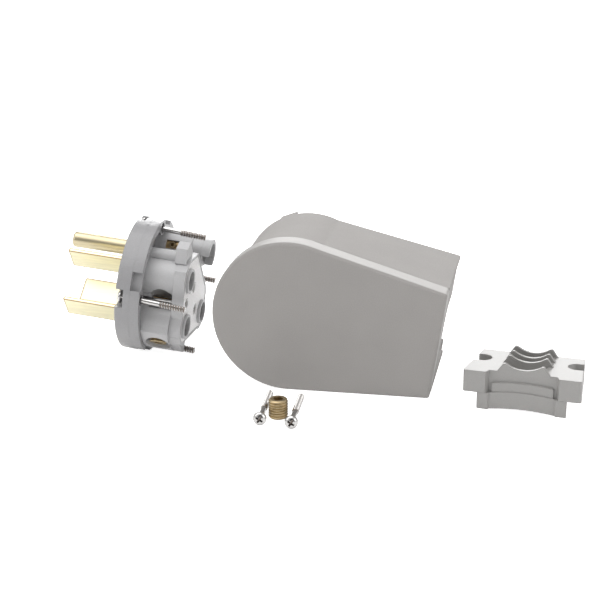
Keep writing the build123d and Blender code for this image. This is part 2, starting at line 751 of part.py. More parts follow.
# Terminal block: a barrel per terminal around a core, a lipped flange on the wiring side, a ground funnel
line_names = ("a", "b", "c")
line_places = [wire_place(name) for name in line_names]
with BuildPart() as block:
    with BuildSketch(level(front_plate)):
        Circle(core_radius)
        for name, (barrel_radius, _, _, _) in barrels.items():
            with Locations(wire_place(name)):
                Circle(barrel_radius)
        with Locations(rib_place):
            Circle(rib_radius)
        with BuildLine():
            Polyline(*wing, close=True)
        make_face()
        Circle(block_reach, mode=Mode.INTERSECT)
    extrude(amount=flange_low_z - front_plate)

    # The part that stands inside the rim is narrower
    with BuildSketch(level(front_plate)):
        Circle(block_reach + 1)
        Circle(rim_back_radius - rim_wall - plate_gap, mode=Mode.SUBTRACT)
    extrude(amount=rim_depth + plate_gap - front_plate, mode=Mode.SUBTRACT)

    # Windows for the terminal screws, before the flange covers their inner ends
    for name in barrels:
        with BuildSketch(screw_plane(name)):
            if name == "ground":
                Rectangle(*ground_window)
            else:
                Circle(window_radius)
        extrude(amount=block_reach / 2, mode=Mode.SUBTRACT)

    # Flange with its two lugs
    with BuildSketch(level(flange_low_z)):
        with BuildLine():
            Polyline(*flange_outline, close=True)
        make_face()
        with Locations(*line_places):
            Circle(flange_lobe_radius)
        Circle(block_reach, mode=Mode.INTERSECT)
    extrude(amount=flange_high_z - flange_low_z)
    with BuildSketch(level(lug_low_z)):
        for outline in (upper_lug, lower_lug):
            with BuildLine():
                Polyline(*outline, close=True)
            make_face()
    extrude(amount=lug_high_z - lug_low_z)

    # The flange stops at a chord in front of the ground funnel
    with BuildSketch(spot(45, ground_chord, ground_barrel_high_z)):
        with Locations((block_reach, 0)):
            Rectangle(2 * block_reach, 4 * block_reach)
    extrude(amount=flange_high_z - ground_barrel_high_z, mode=Mode.SUBTRACT)
    ground_angle, ground_radius = contacts["ground"][2:4]
    ground_barrel_radius = barrels["ground"][0]
    with BuildSketch(level(ground_barrel_high_z - 1)):
        with Locations(wire_place("ground")):
            Circle(ground_barrel_radius - 0.4)
    extrude(amount=ground_ring_high_z - ground_barrel_high_z + 1)
    with BuildSketch(level(ground_ring_low_z)):
        with Locations(wire_place("ground")):
            Circle(ground_ring_radius)
    extrude(amount=ground_ring_high_z - ground_ring_low_z)

    # Recess for the retainer plate inside the flange's lip, raised rims around the wire bores
    with BuildSketch(level(plate_low_z)):
        with BuildLine():
            Polyline(*flange_outline, close=True)
        make_face()
        with Locations(*line_places):
            Circle(flange_lobe_radius)
        Circle(block_reach, mode=Mode.INTERSECT)
        with BuildSketch(mode=Mode.INTERSECT):
            with Locations(Location((0, 0), 45)):
                with Locations((ground_chord - 2 * block_reach, 0)):
                    Rectangle(4 * block_reach, 4 * block_reach)
        offset(amount=-plate_lip)
    extrude(amount=flange_high_z - plate_low_z, mode=Mode.SUBTRACT)
    with BuildSketch(level(plate_low_z - 1)):
        with Locations(*line_places):
            Circle(wire_ring_radius)
    extrude(amount=wire_ring_high_z - plate_low_z + 1)

    # Seats of the terminals and wire bores
    for name, (_, terminal_radius, _, _) in barrels.items():
        with BuildSketch(level(terminal_low_z)):
            with Locations(wire_place(name)):
                Circle(terminal_radius)
        extrude(amount=terminal_high_z - terminal_low_z, mode=Mode.SUBTRACT)
        with BuildSketch(level(terminal_high_z)):
            with Locations(wire_place(name)):
                Circle(min(wire_bore_radius, terminal_radius - 0.4))
        extrude(amount=ground_ring_high_z - terminal_high_z + 1, mode=Mode.SUBTRACT)

    # The ground funnel is cut away towards the middle of the block
    with BuildSketch(spot(ground_angle, ground_radius - ground_ring_radius, flange_high_z)):
        Rectangle(2 * ground_ring_radius, ground_cut_width)
    extrude(amount=ground_ring_high_z - flange_high_z + 1, mode=Mode.SUBTRACT)

    with BuildSketch(level(front_plate)):
        with Locations(*retainer_spots):
            Circle(retainer_shank_radius + 0.05)
    extrude(amount=plate_low_z - front_plate, mode=Mode.SUBTRACT)
block.part.label = "terminal_block"
export_step(block.part, "parts/terminal_block.step")

# Retainer plate inside the lip, over the block's wiring side
with BuildPart() as retainer:
    with BuildSketch(level(plate_low_z)):
        with BuildLine():
            Polyline(*flange_outline, close=True)
        make_face()
        with Locations(*line_places):
            Circle(flange_lobe_radius)
        Circle(block_reach, mode=Mode.INTERSECT)
        with BuildSketch(mode=Mode.INTERSECT):
            with Locations(Location((0, 0), 45)):
                with Locations((ground_chord - 2 * block_reach, 0)):
                    Rectangle(4 * block_reach, 4 * block_reach)
        offset(amount=-plate_lip - plate_gap)
        with Locations(*line_places):
            Circle(wire_ring_radius + plate_gap, mode=Mode.SUBTRACT)
        with Locations(*retainer_spots):
            Circle(retainer_shank_radius + 0.05, mode=Mode.SUBTRACT)
    extrude(amount=plate_high_z - plate_low_z)
    with BuildSketch(level(plate_high_z - retainer_bore_depth)):
        with Locations(*retainer_spots):
            Circle(retainer_bore_radius)
    extrude(amount=retainer_bore_depth, mode=Mode.SUBTRACT)
retainer.part.label = "retainer_plate"
export_step(retainer.part, "parts/retainer_plate.step")

# Retainer screws hold plate and block on the face body
head_low_z = plate_high_z - retainer_bore_depth
with BuildPart() as retainer_screws:
    with BuildSketch(level(head_low_z)):
        with Locations(*retainer_spots):
            Circle(retainer_head_radius)
    extrude(amount=retainer_head_height)
    with BuildSketch(level(retainer_tip_z)):
        with Locations(*retainer_spots):
            Circle(retainer_shank_radius)
    extrude(amount=head_low_z - retainer_tip_z)
    with BuildSketch(level(head_low_z + retainer_head_height)):
        with Locations(*retainer_spots):
            Rectangle(2 * retainer_head_radius * recess_reach, 0.6)
            Rectangle(0.6, 2 * retainer_head_radius * recess_reach)
    extrude(amount=-0.5, mode=Mode.SUBTRACT)
retainer_screws.part.label = "retainer_screws"
export_step(retainer_screws.part, "parts/retainer_screws.step")

# Assembly screws, captive in the rim; three droop in their holes, the lowest one stands on its tip
hole_middle_z = (head_notch_depth + front_plate) / 2
for side, (angle, droop, swing, head_gap) in assembly_screw_poses.items():
    pivot = face_frame * Location((0, 0, hole_middle_z), (0, 0, angle)) * Location((screw_circle_radius, 0, 0))
    upright = Location(pivot.position) * Location((0, 0, 0), face_plane.location.orientation)
    screw_frame = Plane(upright * Location((0, 0, 0), (droop, swing, 0)))
    head_low = head_notch_depth - head_gap - hole_middle_z
    head_top = head_low - assembly_head_height
    with BuildPart() as assembly_screw:
        with BuildSketch(screw_frame.offset(head_top)):
            Circle(assembly_head_radius)
        extrude(amount=assembly_head_height)
        with BuildSketch(screw_frame.offset(head_low)):
            Circle(screw_shank_radius)
        extrude(amount=assembly_screw_length)
        with BuildSketch(screw_frame.offset(head_low + assembly_screw_length - assembly_thread_length)):
            Circle(screw_thread_radius)
        extrude(amount=assembly_thread_length)
        add(cross_recess(screw_frame.offset(head_top), assembly_head_radius, recess_depth), mode=Mode.SUBTRACT)
    assembly_screw.part.label = f"assembly_screw_{side}"
    export_step(assembly_screw.part, f"parts/assembly_screw_{side}.step")
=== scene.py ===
# %% [markdown]
# # A three-phase plug, taken apart
#
# The plug lies in pieces on a white floor: a grey angled housing, the face assembly with its brass
# contacts, a ribbed cord clamp, two long screws and one short brass one. The solids come from CAD and
# already have the right sizes and places, so this lesson is about light, finishes and screws with real
# threads. Everything is in metres, in the frame of the CAD part.

# %% Load the CAD frame
import json
import math

import bmesh
import bpy
from mathutils import Matrix, Vector


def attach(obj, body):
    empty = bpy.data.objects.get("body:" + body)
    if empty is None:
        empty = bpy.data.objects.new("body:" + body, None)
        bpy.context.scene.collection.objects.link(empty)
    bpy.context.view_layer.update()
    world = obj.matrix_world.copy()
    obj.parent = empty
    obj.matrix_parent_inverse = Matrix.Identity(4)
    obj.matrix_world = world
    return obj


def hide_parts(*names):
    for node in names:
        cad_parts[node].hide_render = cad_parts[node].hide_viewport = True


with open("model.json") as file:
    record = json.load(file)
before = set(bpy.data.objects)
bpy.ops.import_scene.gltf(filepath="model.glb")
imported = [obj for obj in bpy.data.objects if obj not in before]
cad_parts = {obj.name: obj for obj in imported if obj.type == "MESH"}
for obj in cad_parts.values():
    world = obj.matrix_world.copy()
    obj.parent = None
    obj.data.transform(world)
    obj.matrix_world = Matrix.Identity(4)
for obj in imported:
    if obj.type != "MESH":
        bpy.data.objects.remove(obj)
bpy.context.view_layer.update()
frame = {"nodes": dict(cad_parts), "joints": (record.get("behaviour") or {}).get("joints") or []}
MM = 0.001

# %% [markdown]
# ## Camera
#
# The photograph was taken from about 0.7 m away with a long lens, looking 18 degrees down. A long lens
# keeps the perspective weak, so the place of the camera matters more than its angle of view. The focal
# length is the one that gives the photograph's scale on a 36 mm wide sensor.

# %% Camera
CAMERA_PLACE = Vector((131.9, -708.4, 278.2)) * MM
CAMERA_AIM = Vector((-0.168, 0.934, -0.3156)).normalized()
SENSOR_MM = 36.0
FOCAL_PIXELS = 1808.0
PICTURE_PIXELS = 600.0

camera_data = bpy.data.cameras.new("camera")
camera_data.sensor_width = SENSOR_MM
camera_data.lens = FOCAL_PIXELS / PICTURE_PIXELS * SENSOR_MM
camera = bpy.data.objects.new("camera", camera_data)
bpy.context.collection.objects.link(camera)
camera.location = CAMERA_PLACE
camera.rotation_euler = CAMERA_AIM.to_track_quat("-Z", "Y").to_euler()
bpy.context.scene.camera = camera
print("lens", round(camera_data.lens, 1), "mm")

# %% [markdown]
# ## Floor
#
# The picture has a seamless paper floor that is blown out to white, with hardly a trace of a shadow. The
# floor is one large square of diffuse paper that also glows: strongly for the camera, which lifts the
# shadows until only a faint tone stays at the contacts, and a little for everything else, which lights the
# lower parts from below. A Light Path node tells the camera's rays from the others.

# %% Floor
FLOOR_HALF = 3.0
floor_mesh = bmesh.new()
bmesh.ops.create_grid(floor_mesh, x_segments=1, y_segments=1, size=FLOOR_HALF)
floor_data = bpy.data.meshes.new("floor")
floor_mesh.to_mesh(floor_data)
floor_mesh.free()
floor = bpy.data.objects.new("floor", floor_data)
bpy.context.collection.objects.link(floor)
print("floor", 2 * FLOOR_HALF, "m wide")

# %% Floor paper
PLAIN_WHITE = (1, 1, 1, 1)
PAPER_WHITE = (0.92, 0.92, 0.92, 1)
PAPER_ROUGHNESS = 0.9
FLOOR_GLOW = 0.85
FLOOR_BOUNCE = 0.2

floor_paper = bpy.data.materials.new("floor_paper")
floor_paper.use_nodes = True
paper_nodes = floor_paper.node_tree.nodes
paper_links = floor_paper.node_tree.links
paper = paper_nodes["Principled BSDF"]
paper.inputs["Base Color"].default_value = PAPER_WHITE
paper.inputs["Roughness"].default_value = PAPER_ROUGHNESS
paper.inputs["Specular IOR Level"].default_value = 0.0
paper.inputs["Emission Color"].default_value = PLAIN_WHITE
ray = paper_nodes.new("ShaderNodeLightPath")
glow = paper_nodes.new("ShaderNodeMath")
glow.operation = "MULTIPLY_ADD"
glow.inputs[1].default_value = FLOOR_GLOW - FLOOR_BOUNCE
glow.inputs[2].default_value = FLOOR_BOUNCE
paper_links.new(ray.outputs["Is Camera Ray"], glow.inputs[0])
paper_links.new(glow.outputs["Value"], paper.inputs["Emission Strength"])
floor.data.materials.append(floor_paper)
print("paper glows", FLOOR_GLOW, "for the camera and", FLOOR_BOUNCE, "for the rest")

# %% [markdown]
# ## The room around it
#
# The plug stands in an even white room, which is the world's background. The room has a dark spot where the
# camera stands, which gives the polished screw heads something dark to mirror. Two Map Range nodes set the
# brightness, one from front to back and one by how near a direction comes to that spot.

# %% World
WORLD_FRONT = 0.72
WORLD_BACK = 0.7
DARK_SPOT_EDGE = 0.8
DARK_SPOT_CORE = 0.95
DARK_SPOT_SHARE = 0.08


def remap(tree, value, source, target):
    """The socket of a Map Range node that takes a value from one range of numbers to another."""
    node = tree.nodes.new("ShaderNodeMapRange")
    node.inputs["From Min"].default_value, node.inputs["From Max"].default_value = source
    node.inputs["To Min"].default_value, node.inputs["To Max"].default_value = target
    tree.links.new(value, node.inputs["Value"])
    return node.outputs["Result"]


bpy.context.scene.view_settings.view_transform = "Standard"
world = bpy.data.worlds.new("studio")
bpy.context.scene.world = world
world.use_nodes = True
room = world.node_tree
direction = room.nodes.new("ShaderNodeTexCoord")
split = room.nodes.new("ShaderNodeSeparateXYZ")
toward_camera = room.nodes.new("ShaderNodeVectorMath")
toward_camera.operation = "DOT_PRODUCT"
toward_camera.inputs[1].default_value = -CAMERA_AIM
room.links.new(direction.outputs["Generated"], split.inputs["Vector"])
room.links.new(direction.outputs["Generated"], toward_camera.inputs[0])
fade = remap(room, split.outputs["Y"], (-1, 1), (WORLD_FRONT, WORLD_BACK))
dark_spot = remap(
    room, toward_camera.outputs["Value"], (DARK_SPOT_EDGE, DARK_SPOT_CORE), (1, DARK_SPOT_SHARE)
)
brightness = room.nodes.new("ShaderNodeMath")
brightness.operation = "MULTIPLY"
room.links.new(fade, brightness.inputs[0])
room.links.new(dark_spot, brightness.inputs[1])
background = room.nodes["Background"]
background.inputs["Color"].default_value = PLAIN_WHITE
room.links.new(brightness.outputs["Value"], background.inputs["Strength"])
print("room", WORLD_FRONT, "bright in front,", WORLD_BACK, "behind")

# %% [markdown]
# ## Lamps
#
# Level tops are blown out in the picture although sides that face the camera are mid grey. A bright
# backdrop behind the object does that: satin plastic mirrors it at a grazing angle. A wide lamp overhead
# lights the tops as well, and two weaker ones at the left and at the right keep the near sides from going
# flat. Large square area lights give soft shadows.

# %% Lamps
# Each lamp has its place and its width in metres, and its power in watts.
LAMPS = {
    "overhead": ((-0.2, -0.05, 1.0), 1.0, 6.0),
    "backdrop": ((-0.1, 1.5, 0.56), 0.9, 10.0),
    "left_window": ((-0.9, -0.5, 0.7), 0.8, 2.5),
    "right_fill": ((0.9, -0.4, 0.5), 0.7, 3.0),
}
OBJECT_MIDDLE = Vector((0.0, 0.02, 0.02))
for name, (place, width, watts) in LAMPS.items():
    lamp_data = bpy.data.lights.new(name, "AREA")
    lamp_data.size = width
    lamp_data.energy = watts
    lamp = bpy.data.objects.new(name, lamp_data)
    bpy.context.collection.objects.link(lamp)
    lamp.location = place
    lamp.rotation_euler = (OBJECT_MIDDLE - Vector(place)).to_track_quat("-Z", "Y").to_euler()
print("lamps", ", ".join(LAMPS))

# %% [markdown]
# ## Noise and rounded edges
#
# No real surface is even, and no real edge is sharp. All finishes here read noise on Object coordinates,
# which stay with the piece when it moves. The noise drives a very shallow bump, and a Bevel node rounds the
# shading of the edges below it. That costs no faces, so the CAD meshes can stay as they are.

# %% Noise and rounded edges
BEVEL_SAMPLES = 6


def noise(tree, places, scale, detail):
    """The value of a Noise node at these places."""
    node = tree.nodes.new("ShaderNodeTexNoise")
    node.inputs["Scale"].default_value = scale
    node.inputs["Detail"].default_value = detail
    tree.links.new(places, node.inputs["Vector"])
    return node.outputs["Fac"]


def rounded_bump(tree, height, strength, distance, edge_round):
    """Fine grain as a bump on top of edges whose shading is rounded."""
    rounding = tree.nodes.new("ShaderNodeBevel")
    rounding.samples = BEVEL_SAMPLES
    rounding.inputs["Radius"].default_value = edge_round
    bump = tree.nodes.new("ShaderNodeBump")
    bump.inputs["Strength"].default_value = strength
    bump.inputs["Distance"].default_value = distance
    tree.links.new(rounding.outputs["Normal"], bump.inputs["Normal"])
    tree.links.new(height, bump.inputs["Height"])
    tree.links.new(bump.outputs["Normal"], tree.nodes["Principled BSDF"].inputs["Normal"])


print("edges are rounded from", BEVEL_SAMPLES, "samples")

# %% [markdown]
# ## A polished band
#
# The housing is matt, but the edge of its flange is smooth and mirrors a little of the room. The flange
# lies between two values of the housing's Y, and a Compare node is one there and nothing elsewhere.

# %% Polished band
POLISHED_GLOSS = 0.8


def polished_band(tree, places, low, high):
    """One between two values of the piece's Y, zero outside them."""
    across = tree.nodes.new("ShaderNodeSeparateXYZ")
    band = tree.nodes.new("ShaderNodeMath")
    band.operation = "COMPARE"
    band.inputs[1].default_value = (low + high) / 2
    band.inputs[2].default_value = (high - low) / 2
    tree.links.new(places, across.inputs["Vector"])
    tree.links.new(across.outputs["Y"], band.inputs[0])
    return band.outputs["Value"]


print("polished bands have a gloss of", POLISHED_GLOSS)

# %% [markdown]
# ## Moulded plastic
#
# The grey mouldings have a fine matt grain and are a little lighter and darker in soft patches. A coarse
# noise shifts the colour a few percent, a fine one adds the grain and drives the bump. The rim of the face
# has uneven highlights, as a skin with slow waves gives, so there the bump is wide and deep instead.

# %% Moulded plastic
PATCH_SCALE = 60.0
PATCH_DETAIL = 3.0
PATCH_SHIFT = 0.06
GRAIN_SCALE = 2200.0
GRAIN_DETAIL = 2.0
GRAIN_RANGE = (0.25, 0.75)
GRAIN_HEIGHT = 0.2 * MM
WAVE_SCALE = 160.0
BUMP_STRENGTH = 0.06
EDGE_ROUND = 0.35 * MM


def moulded_plastic(
    name, colour, roughness, gloss=0.5, grain=0.05, edge=EDGE_ROUND, waves=0.0, polished=None
):
    """Plastic with soft patches and fine grain, or waves in its skin, and with a polished band if wanted."""
    material = bpy.data.materials.new(name)
    material.use_nodes = True
    tree = material.node_tree
    shader = tree.nodes["Principled BSDF"]
    shader.inputs["Roughness"].default_value = roughness
    shader.inputs["Specular IOR Level"].default_value = gloss
    places = tree.nodes.new("ShaderNodeTexCoord").outputs["Object"]
    patches = noise(tree, places, PATCH_SCALE, PATCH_DETAIL)
    grains = noise(tree, places, GRAIN_SCALE, GRAIN_DETAIL)
    tone = tree.nodes.new("ShaderNodeMath")
    tone.operation = "MULTIPLY"
    tree.links.new(remap(tree, patches, (0, 1), (1 - PATCH_SHIFT, 1 + PATCH_SHIFT)), tone.inputs[0])
    tree.links.new(remap(tree, grains, GRAIN_RANGE, (1 - grain, 1 + grain)), tone.inputs[1])
    mix = tree.nodes.new("ShaderNodeVectorMath")
    mix.operation = "SCALE"
    mix.inputs[0].default_value = colour
    tree.links.new(tone.outputs["Value"], mix.inputs["Scale"])
    tree.links.new(mix.outputs["Vector"], shader.inputs["Base Color"])
    skin = noise(tree, places, WAVE_SCALE if waves else GRAIN_SCALE, GRAIN_DETAIL)
    rounded_bump(tree, skin, BUMP_STRENGTH, waves or GRAIN_HEIGHT, edge)
    if polished:
        low, high, smoothness = polished
        band = polished_band(tree, places, low, high)
        smooth = remap(tree, band, (0, 1), (roughness, smoothness))
        shiny = remap(tree, band, (0, 1), (gloss, POLISHED_GLOSS))
        tree.links.new(smooth, shader.inputs["Roughness"])
        tree.links.new(shiny, shader.inputs["Specular IOR Level"])
    return material


print("grain", GRAIN_SCALE, "waves", WAVE_SCALE, "per metre")

# %% [markdown]
# ## The five plastics
#
# All the greys are near to each other. The housing is the most matt, because a glossy one would mirror the
# backdrop in its top wall. The face is the shiniest, and the retainer plate is nearly white with a coarse
# speckle.

# %% The five plastics
# The flange's edge runs from one Y to another and has a roughness of its own.
FLANGE_EDGE = (-4.0 * MM, 4.0 * MM, 0.5)
housing_grey = moulded_plastic(
    "housing_grey", (0.3, 0.288, 0.278), roughness=0.7, gloss=0.2, edge=0.8 * MM, polished=FLANGE_EDGE
)
clamp_grey = moulded_plastic("clamp_grey", (0.268, 0.261, 0.252), roughness=0.4, gloss=0.9, edge=0.5 * MM)
face_grey = moulded_plastic("face_grey", (0.285, 0.282, 0.288), roughness=0.24, waves=10.0 * MM)
block_grey = moulded_plastic("block_grey", (0.45, 0.448, 0.454), roughness=0.35, edge=0.3 * MM)
plate_pale = moulded_plastic("plate_pale", (0.93, 0.92, 0.92), roughness=0.45, grain=0.16)
print("plastics", housing_grey.name, clamp_grey.name, face_grey.name, block_grey.name, plate_pale.name)

# %% [markdown]
# ## Painted edge shade
#
# The blades and the pin have dark lines along their edges in the picture, which is shade where the edges
# turn away from the light, painted here into the colour. A normal that a Bevel node has rounded turns away
# from the true one only near an edge, so the dot product of the two finds the edges, and a Mix node lays a
# darker tone of painted shade over them.

# %% Painted edge shade
EDGE_WIDTH = 0.9 * MM
EDGE_SAMPLES = 8
EDGE_AGREEMENT = (0.999, 0.97)


def paint_edge_shade(tree, colour, tone):
    """Paint shade on a metal along its edges, found where a rounded normal departs from the true one."""
    rounding = tree.nodes.new("ShaderNodeBevel")
    rounding.samples = EDGE_SAMPLES
    rounding.inputs["Radius"].default_value = EDGE_WIDTH
    flat = tree.nodes.new("ShaderNodeNewGeometry")
    agree = tree.nodes.new("ShaderNodeVectorMath")
    agree.operation = "DOT_PRODUCT"
    tree.links.new(rounding.outputs["Normal"], agree.inputs[0])
    tree.links.new(flat.outputs["Normal"], agree.inputs[1])
    mix = tree.nodes.new("ShaderNodeMix")
    mix.data_type = "RGBA"
    mix.inputs["B"].default_value = (*tone, 1)
    tree.links.new(remap(tree, agree.outputs["Value"], EDGE_AGREEMENT, (0, 1)), mix.inputs["Factor"])
    tree.links.new(colour, mix.inputs["A"])
    tree.links.new(mix.outputs["Result"], tree.nodes["Principled BSDF"].inputs["Base Color"])


# The painted edge shade reaches this far inwards.
print("worn edges reach", EDGE_WIDTH / MM, "mm inwards")

# %% [markdown]
# ## Brass and plated steel
#
# The blades are a very pale brass with drawn lines along them, the pin and the short screw are a deeper
# one, and the screws are bright plated steel with painted shade, a darker and rougher steel, at the root of
# the thread. Noise that a Mapping node stretches makes the drawn lines. It tints the metal and roughens it,
# so that the highlights break up too.

# %% Drawn metal
LINE_SCALE = 900.0
LINE_DETAIL = 4.0
LINE_RANGE = (0.3, 0.7)
LINE_STRENGTH = 0.05
LINE_HEIGHT = 0.1 * MM
SMOOTHER = 0.8
ROUGHER = 1.25


def drawn_metal(name, colour, roughness, tint=0.1, stretch=(1, 1, 1), edge=0.2 * MM, edge_shade=None):
    """Metal with fine lines: noise that is stretched along one axis tints it and roughens it."""
    material = bpy.data.materials.new(name)
    material.use_nodes = True
    tree = material.node_tree
    shader = tree.nodes["Principled BSDF"]
    shader.inputs["Metallic"].default_value = 1.0
    places = tree.nodes.new("ShaderNodeTexCoord")
    mapping = tree.nodes.new("ShaderNodeMapping")
    mapping.inputs["Scale"].default_value = stretch
    tree.links.new(places.outputs["Object"], mapping.inputs["Vector"])
    lines = noise(tree, mapping.outputs["Vector"], LINE_SCALE, LINE_DETAIL)
    ramp = tree.nodes.new("ShaderNodeValToRGB")
    dark, light = ramp.color_ramp.elements
    dark.position, light.position = LINE_RANGE
    dark.color = (*[share * (1 - tint) for share in colour], 1)
    light.color = (*[min(1, share * (1 + tint)) for share in colour], 1)
    tree.links.new(lines, ramp.inputs["Fac"])
    tree.links.new(ramp.outputs["Color"], shader.inputs["Base Color"])
    rough = remap(tree, lines, (0, 1), (roughness * SMOOTHER, roughness * ROUGHER))
    tree.links.new(rough, shader.inputs["Roughness"])
    rounded_bump(tree, lines, LINE_STRENGTH, LINE_HEIGHT, edge)
    # Painted shade along the edges, if a tone for it is given.
    if edge_shade:
        paint_edge_shade(tree, ramp.outputs["Color"], edge_shade)
    return material


print("lines", LINE_SCALE, "per metre")

# %% The six metals
ALONG_CONTACTS = (0.05, 1, 1)
# The blades and the pin get painted shade along their edges in this tone.
EDGE_SHADE_TONE = (0.3, 0.2, 0.1)
SCREW_EDGE = 0.1 * MM
blade_brass = drawn_metal(
    "blade_brass", (0.75, 0.7, 0.49), 0.34, tint=0.08, stretch=ALONG_CONTACTS, edge_shade=EDGE_SHADE_TONE
)
pin_brass = drawn_metal(
    "pin_brass", (0.56, 0.49, 0.33), 0.34, tint=0.16, stretch=ALONG_CONTACTS, edge_shade=EDGE_SHADE_TONE
)
terminal_brass = drawn_metal("terminal_brass", (0.62, 0.46, 0.25), 0.35)
screw_brass = drawn_metal("screw_brass", (0.47, 0.37, 0.22), 0.34, edge=SCREW_EDGE)
bright_steel = drawn_metal("bright_steel", (0.55, 0.54, 0.53), 0.16, tint=0.04, edge=SCREW_EDGE)
# A darker, rougher steel that paints shade into the roots of threads and into cross recesses.
shade_painted_steel = drawn_metal("shade_painted_steel", (0.27, 0.235, 0.21), 0.4, edge=SCREW_EDGE)
print("brass", blade_brass.name, pin_brass.name, terminal_brass.name, screw_brass.name)
print("steel", bright_steel.name, shade_painted_steel.name)

# %% [markdown]
# ## Finishes of the CAD nodes
#
# Every CAD node gets one of these finishes. A node is known by how its name begins, with the longer
# beginnings first, because the terminals' names begin as their screws' names do. What the list doesn't name
# is a steel screw.

# %% Finishes of the CAD nodes
FINISHES = {
    "housing": housing_grey,
    "cord_clamp": clamp_grey,
    "face_body": face_grey,
    "terminal_block": block_grey,
    "retainer_plate": plate_pale,
    "assembly_inserts": terminal_brass,
    "clamp_inserts": terminal_brass,
    "ground_pin": pin_brass,
    "blade_": blade_brass,
    "terminal_screw_": screw_brass,
    "terminal_": terminal_brass,
}


def finish_of(name):
    """The finish of the CAD node with this name."""
    for beginning, finish in FINISHES.items():
        if name.startswith(beginning):
            return finish
    return bright_steel


for name, node in frame["nodes"].items():
    node.data.materials.clear()
    node.data.materials.append(finish_of(name))
print("finished", len(frame["nodes"]), "nodes")

# %% [markdown]
# ## Turned shapes
#
# A screw is turned work, so its head and shank are one profile spun round Z. A full spin leaves a seam
# where it closes and a pole where the profile meets the axis. Merging doubles closes both, and the normals
# are recalculated after that.

# %% Turned shapes
TURN_STEPS = 48
TURN_MERGE = 0.001 * MM


def profile(mesh, points):
    """Vertices in the XZ plane joined by edges, ready to spin."""
    corners = [mesh.verts.new((x, 0, z)) for x, z in points]
    sides = [mesh.edges.new(pair) for pair in zip(corners, corners[1:])]
    return corners + sides


def turn(mesh, points):
    """Spin a profile once round Z and merge the seam and the poles."""
    bmesh.ops.spin(
        mesh, geom=profile(mesh, points), cent=(0, 0, 0), axis=(0, 0, 1), dvec=(0, 0, 0),
        angle=2 * math.pi, steps=TURN_STEPS, use_merge=True, use_duplicate=False,
    )
    bmesh.ops.remove_doubles(mesh, verts=mesh.verts, dist=TURN_MERGE)
    bmesh.ops.dissolve_degenerate(mesh, dist=TURN_MERGE, edges=mesh.edges)
    bmesh.ops.recalc_face_normals(mesh, faces=mesh.faces)


print("turned shapes have", TURN_STEPS, "steps")

# %% [markdown]
# ## Threads
#
# A thread is the profile of a single ridge, spun many times while it rises by one pitch a turn. The turns
# then share their edges, so merging doubles makes them one skin, which is cut flat at both ends and closed.
# Both ends are chamfered, as a thread begins on a real screw, and the root gets a second, darker material
# that paints shade into it.

# %% Threaded rod
# The ridge as shares of the pitch upwards and of the thread's depth outwards.
RIDGE = ((0.0, 0.0), (0.3, 0.0), (0.44, 0.5), (0.58, 1.0), (0.74, 1.0), (0.87, 0.5), (1.0, 0.0))
THREAD_STEPS = 28
THREAD_MERGE = 0.002 * MM
CUT_TOLERANCE = 0.0001 * MM
PAINTED_SHADE_DEPTH = 0.55


def threaded(mesh, root, crest, pitch, low, high, chamfer, steps=THREAD_STEPS):
    """A closed threaded rod from low to high along Z, with both its ends chamfered."""
    turns = math.ceil((high - low) / pitch) + 2
    points = [(root + out * (crest - root), low - pitch + up * pitch) for up, out in RIDGE]
    bmesh.ops.spin(
        mesh, geom=profile(mesh, points), cent=(0, 0, 0), axis=(0, 0, 1), dvec=(0, 0, pitch / steps),
        angle=2 * math.pi * turns, steps=steps * turns, use_merge=False, use_duplicate=False,
    )
    bmesh.ops.remove_doubles(mesh, verts=mesh.verts, dist=THREAD_MERGE)
    for height, side in ((low, -1), (high, 1)):
        everything = mesh.verts[:] + mesh.edges[:] + mesh.faces[:]
        bmesh.ops.bisect_plane(
            mesh, geom=everything, dist=CUT_TOLERANCE, plane_co=(0, 0, height), plane_no=(0, 0, side),
            clear_outer=True,
        )
    bmesh.ops.holes_fill(mesh, edges=[edge for edge in mesh.edges if edge.is_boundary], sides=0)
    for vertex in mesh.verts:
        limit = crest - chamfer + min(vertex.co.z - low, high - vertex.co.z)
        reach = math.hypot(vertex.co.x, vertex.co.y)
        if reach > limit:
            vertex.co.x *= limit / reach
            vertex.co.y *= limit / reach
    bmesh.ops.recalc_face_normals(mesh, faces=mesh.faces)
    # Faces deep in the root of the thread take the second material, which paints shade there.
    for face in mesh.faces:
        centre = face.calc_center_median()
        depth = (crest - math.hypot(centre.x, centre.y)) / (crest - root)
        if low < centre.z < high and depth > PAINTED_SHADE_DEPTH:
            face.material_index = 1


print("a thread has", THREAD_STEPS, "steps a turn, or more where it is asked for")

# %% [markdown]
# ## From mesh to object
#
# A finished mesh becomes an object. Turned work is round with crisp shoulders, so the shading is smooth
# except where two faces meet at a sharp angle. Parts that were made apart can also be joined in one mesh.

# %% From mesh to object
SHARP_ANGLE = math.radians(38)


def shaded(data):
    """Shade a mesh smooth except at its sharp edges."""
    data.shade_smooth()
    data.set_sharp_from_angle(angle=SHARP_ANGLE)


def to_object(mesh, name, materials):
    """A new object with this mesh and these materials."""
    data = bpy.data.meshes.new(name)
    mesh.to_mesh(data)
    mesh.free()
    for material in materials:
        data.materials.append(material)
    shaded(data)
    made = bpy.data.objects.new(name, data)
    bpy.context.collection.objects.link(made)
    return made


def joined(pieces, name, materials):
    """One object from several, with all their meshes, whose material indices mean the same."""
    mesh = bmesh.new()
    for piece in pieces:
        mesh.from_mesh(piece.data)
    for piece in pieces:
        bpy.data.objects.remove(piece)
    return to_object(mesh, name, materials)


print("edges sharper than", round(math.degrees(SHARP_ANGLE)), "degrees stay sharp")

# %% [markdown]
# ## Cutting
#
# Recesses and sockets are cut with a Boolean modifier, as with a milling tool. The exact solver keeps the
# mesh closed, and the faces that it cuts take over the material of the cutter. The result is read back as
# the piece's own mesh, so no modifier stays.

